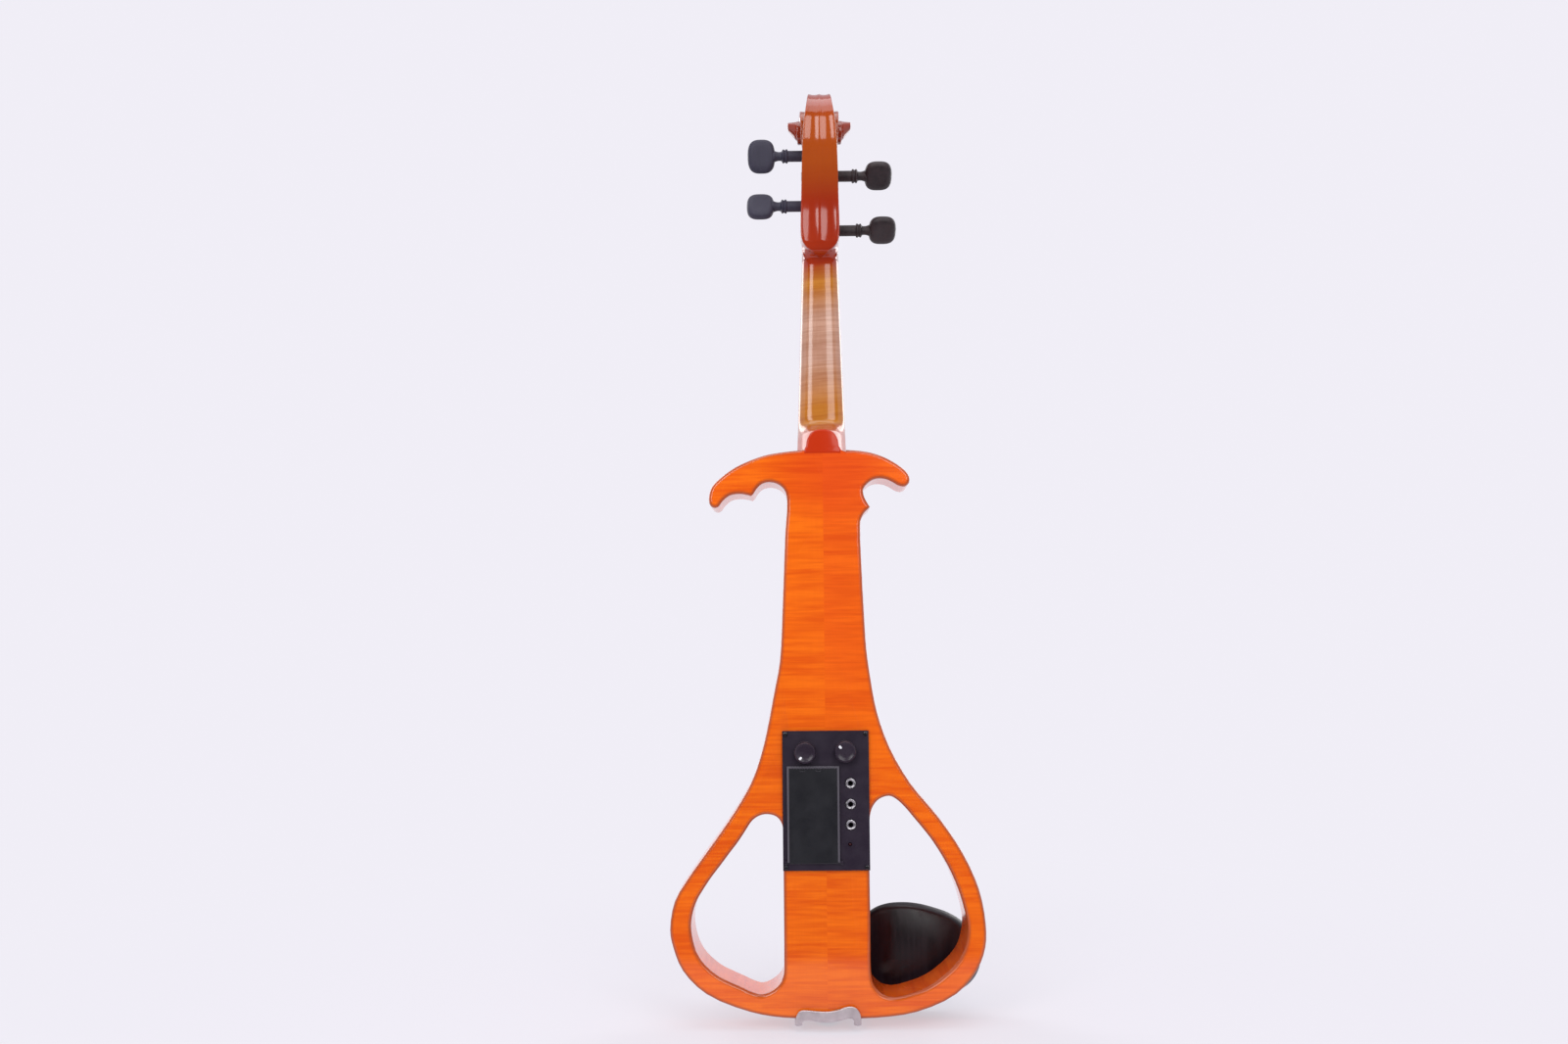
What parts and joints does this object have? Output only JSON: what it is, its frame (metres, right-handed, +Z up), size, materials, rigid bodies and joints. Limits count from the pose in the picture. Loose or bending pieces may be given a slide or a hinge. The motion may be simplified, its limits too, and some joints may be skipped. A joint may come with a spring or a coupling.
{
  "type": "electric violin",
  "caption": "Solid electric violin with an open frame body, a scroll head, friction pegs, built-in fine tuners, a clamped chinrest and a preamplifier with controls and sockets in its back.",
  "frame": {"origin": "on the centre plane below the two ears of the scroll, where the fork of a hanger takes the ears; the violin hangs below it", "axes": "+Z up along the neck towards the scroll, +Y out of the front towards the strings, +X to the right when the violin is seen from behind, towards the chinrest"},
  "size_m": [0.2003, 0.0858, 0.5997],
  "materials": {
    "varnished_maple": "gloss varnish over flamed maple",
    "head_varnish": "gloss varnish over lighter maple",
    "ebony": "satin ebony",
    "black_plastic": "fine grained",
    "door_plastic": "fine grained",
    "bridge_maple": "unvarnished maple",
    "nickel": "satin nickel",
    "socket_metal": "bright socket metal",
    "string_wire": "wound string",
    "cork": "cork sheet",
    "circuit_green": "coated circuit board",
    "lamp_red": "tinted lamp",
    "nylon": "black nylon",
    "battery_shell": "painted battery jacket"
  },
  "bodies": {
    "violin": {"body_frame": "varnished_maple", "neck": "head_varnish", "fingerboard": "ebony", "nut": "ebony", "bridge": "bridge_maple", "bridge_pickup": "nickel", "pickup_lead": "nylon", "saddle": "ebony", "end_button": "ebony", "tailpiece": "ebony", "tuner_axle": "nickel", "tailgut": "nylon", "chinrest": "ebony", "chinrest_cork": "cork", "clamp_bracket": "nickel", "preamp_panel": "black_plastic", "battery": "battery_shell", "battery_clip": "black_plastic", "circuit_board": "circuit_green", "volume_pot": "socket_metal", "tone_pot": "socket_metal", "headphone_jack": "socket_metal", "aux_jack": "socket_metal", "output_jack": "socket_metal", "power_lamp": "lamp_red", "string_g": "string_wire", "string_d": "string_wire", "string_a": "string_wire", "string_e": "string_wire", "panel_screw_1": "nickel", "panel_screw_2": "nickel", "panel_screw_3": "nickel", "panel_screw_4": "nickel"},
    "tuning_peg_g": {"peg_g": "ebony", "winding_g": "string_wire"},
    "tuning_peg_d": {"peg_d": "ebony", "winding_d": "string_wire"},
    "tuning_peg_a": {"peg_a": "ebony", "winding_a": "string_wire"},
    "tuning_peg_e": {"peg_e": "ebony", "winding_e": "string_wire"},
    "tuner_screw_g": {"tuner_shaft_g": "nickel"},
    "tuner_head_g": {"tuner_knob_g": "ebony"},
    "tuner_arm_g": {"tuner_lever_g": "nickel"},
    "tuner_screw_d": {"tuner_shaft_d": "nickel"},
    "tuner_head_d": {"tuner_knob_d": "ebony"},
    "tuner_arm_d": {"tuner_lever_d": "nickel"},
    "tuner_screw_a": {"tuner_shaft_a": "nickel"},
    "tuner_head_a": {"tuner_knob_a": "ebony"},
    "tuner_arm_a": {"tuner_lever_a": "nickel"},
    "tuner_screw_e": {"tuner_shaft_e": "nickel"},
    "tuner_head_e": {"tuner_knob_e": "ebony"},
    "tuner_arm_e": {"tuner_lever_e": "nickel"},
    "volume_control": {"volume_knob": "black_plastic"},
    "tone_control": {"tone_knob": "black_plastic"},
    "door": {"battery_door": "door_plastic"},
    "barrel_left": {"clamp_barrel_left": "nickel"},
    "barrel_right": {"clamp_barrel_right": "nickel"},
    "clamp_grip": {"clamp_foot": "nickel", "clamp_cork": "cork"}
  },
  "joints": [
    {"name": "peg_turn_g", "type": "hinge", "parent": "violin", "child": "tuning_peg_g", "pos_m": [0, 0.01142, -0.05524], "axis": [1, 0, 0], "continuous": true},
    {"name": "peg_turn_d", "type": "hinge", "parent": "violin", "child": "tuning_peg_d", "pos_m": [0, 0.00676, -0.01987], "axis": [1, 0, 0], "continuous": true},
    {"name": "peg_turn_a", "type": "hinge", "parent": "violin", "child": "tuning_peg_a", "pos_m": [0, 0.005, -0.00655], "axis": [1, 0, 0], "continuous": true},
    {"name": "peg_turn_e", "type": "hinge", "parent": "violin", "child": "tuning_peg_e", "pos_m": [0, 0.00929, -0.03907], "axis": [1, 0, 0], "continuous": true},
    {"name": "tuner_travel_g", "type": "slide", "parent": "violin", "child": "tuner_screw_g", "axis": [0, 0.9952, -0.0976], "range_m": [0, 0.0024]},
    {"name": "tuner_turn_g", "type": "hinge", "parent": "tuner_screw_g", "child": "tuner_head_g", "pos_m": [0.014, 0.04577, -0.4848], "axis": [0, 0.9952, -0.0976], "range_deg": [0, 1440]},
    {"name": "tuner_tilt_g", "type": "hinge", "parent": "violin", "child": "tuner_arm_g", "pos_m": [0.014, 0.03917, -0.46606], "axis": [1, 0, 0], "range_deg": [0, 7.7]},
    {"name": "tuner_travel_d", "type": "slide", "parent": "violin", "child": "tuner_screw_d", "axis": [0, 0.9952, -0.0976], "range_m": [0, 0.0024]},
    {"name": "tuner_turn_d", "type": "hinge", "parent": "tuner_screw_d", "child": "tuner_head_d", "pos_m": [0.00467, 0.04577, -0.4848], "axis": [0, 0.9952, -0.0976], "range_deg": [0, 1440]},
    {"name": "tuner_tilt_d", "type": "hinge", "parent": "violin", "child": "tuner_arm_d", "pos_m": [0.00467, 0.03917, -0.46606], "axis": [1, 0, 0], "range_deg": [0, 7.7]},
    {"name": "tuner_travel_a", "type": "slide", "parent": "violin", "child": "tuner_screw_a", "axis": [0, 0.9952, -0.0976], "range_m": [0, 0.0024]},
    {"name": "tuner_turn_a", "type": "hinge", "parent": "tuner_screw_a", "child": "tuner_head_a", "pos_m": [-0.00467, 0.04577, -0.4848], "axis": [0, 0.9952, -0.0976], "range_deg": [0, 1440]},
    {"name": "tuner_tilt_a", "type": "hinge", "parent": "violin", "child": "tuner_arm_a", "pos_m": [-0.00467, 0.03917, -0.46606], "axis": [1, 0, 0], "range_deg": [0, 7.7]},
    {"name": "tuner_travel_e", "type": "slide", "parent": "violin", "child": "tuner_screw_e", "axis": [0, 0.9952, -0.0976], "range_m": [0, 0.0024]},
    {"name": "tuner_turn_e", "type": "hinge", "parent": "tuner_screw_e", "child": "tuner_head_e", "pos_m": [-0.014, 0.04577, -0.4848], "axis": [0, 0.9952, -0.0976], "range_deg": [0, 1440]},
    {"name": "tuner_tilt_e", "type": "hinge", "parent": "violin", "child": "tuner_arm_e", "pos_m": [-0.014, 0.03917, -0.46606], "axis": [1, 0, 0], "range_deg": [0, 7.7]},
    {"name": "volume_turn", "type": "hinge", "parent": "violin", "child": "volume_control", "pos_m": [-0.0129, -0.0123, -0.39551], "axis": [0, 1, 0], "range_deg": [-12, 288]},
    {"name": "tone_turn", "type": "hinge", "parent": "violin", "child": "tone_control", "pos_m": [0.0123, -0.0123, -0.39501], "axis": [0, 1, 0], "range_deg": [-104, 196]},
    {"name": "door_swing", "type": "hinge", "parent": "violin", "child": "door", "pos_m": [-0.008, -0.012, -0.46381], "axis": [1, 0, 0], "range_deg": [0, 100]},
    {"name": "barrel_turn_left", "type": "hinge", "parent": "violin", "child": "barrel_left", "pos_m": [-0.0183, 0.0105, -0.5624], "axis": [0, 1, 0], "range_deg": [0, 1440]},
    {"name": "barrel_turn_right", "type": "hinge", "parent": "violin", "child": "barrel_right", "pos_m": [0.0183, 0.0105, -0.5624], "axis": [0, 1, 0], "range_deg": [0, 1440]},
    {"name": "clamp_travel", "type": "slide", "parent": "violin", "child": "clamp_grip", "axis": [0, -1, 0], "range_m": [0, 0.004]}
  ],
  "couplings": [
    {"joint": "tuner_turn_g", "follows": "tuner_travel_g", "rad_per_m": 10472},
    {"joint": "tuner_tilt_g", "follows": "tuner_travel_g", "rad_per_m": 55.56},
    {"joint": "tuner_turn_d", "follows": "tuner_travel_d", "rad_per_m": 10472},
    {"joint": "tuner_tilt_d", "follows": "tuner_travel_d", "rad_per_m": 55.56},
    {"joint": "tuner_turn_a", "follows": "tuner_travel_a", "rad_per_m": 10472},
    {"joint": "tuner_tilt_a", "follows": "tuner_travel_a", "rad_per_m": 55.56},
    {"joint": "tuner_turn_e", "follows": "tuner_travel_e", "rad_per_m": 10472},
    {"joint": "tuner_tilt_e", "follows": "tuner_travel_e", "rad_per_m": 55.56},
    {"joint": "barrel_turn_right", "follows": "clamp_travel", "rad_per_m": 6283.2},
    {"joint": "barrel_turn_left", "follows": "clamp_travel", "rad_per_m": 6283.2}
  ]
}
